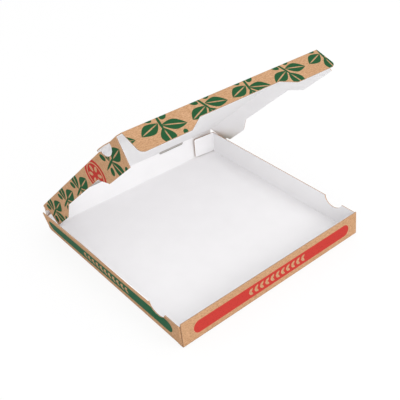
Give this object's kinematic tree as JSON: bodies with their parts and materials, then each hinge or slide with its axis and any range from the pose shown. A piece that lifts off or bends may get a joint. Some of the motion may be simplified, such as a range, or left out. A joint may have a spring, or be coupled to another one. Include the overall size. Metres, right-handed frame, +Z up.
{
  "type": "pizza box",
  "caption": "Square take-away pizza box of thin corrugated board with a hinged lid, lobed lid flaps, back corner flaps and thumb notches.",
  "frame": {"origin": "middle of the tray's underside, on the surface it stands on", "axes": "+X along the hinge to the right as seen from the front, +Y to the back wall, +Z up"},
  "size_m": [0.3251, 0.3025, 0.2436],
  "materials": {
    "board": "uncoated kraft board"
  },
  "bodies": {
    "tray": {"tray": "board"},
    "lid": {"lid": "board"},
    "lid_left_flap": {"lid_left_flap": "board"},
    "lid_right_flap": {"lid_right_flap": "board"},
    "lid_front_flap": {"lid_front_flap": "board"},
    "back_left_corner_flap": {"back_left_corner_flap": "board"},
    "back_right_corner_flap": {"back_right_corner_flap": "board"}
  },
  "joints": [
    {"name": "lid_hinge", "type": "hinge", "parent": "tray", "child": "lid", "pos_m": [0, 0.1519, 0.03796], "axis": [-1, 0, 0], "range_deg": [-43.2, 100]},
    {"name": "lid_left_flap_fold", "type": "hinge", "parent": "lid", "child": "lid_left_flap", "pos_m": [-0.1493, 0.15118, 0.03719], "axis": [0, -0.729, 0.6845], "range_deg": [0, 45]},
    {"name": "lid_right_flap_fold", "type": "hinge", "parent": "lid", "child": "lid_right_flap", "pos_m": [0.1493, 0.15118, 0.03719], "axis": [0, 0.729, -0.6845], "range_deg": [-61.5, 20]},
    {"name": "lid_front_flap_fold", "type": "hinge", "parent": "lid", "child": "lid_front_flap", "pos_m": [0, -0.06678, 0.24187], "axis": [1, 0, 0], "range_deg": [-60, 40]},
    {"name": "back_left_corner_fold", "type": "hinge", "parent": "tray", "child": "back_left_corner_flap", "pos_m": [-0.14824, 0.143, 0.00037], "axis": [0.2079, 0, -0.9781], "range_deg": [0, 55]},
    {"name": "back_right_corner_fold", "type": "hinge", "parent": "tray", "child": "back_right_corner_flap", "pos_m": [0.1482, 0.143, 0.00001], "axis": [0.007, 0, 1], "range_deg": [0, 55]}
  ]
}
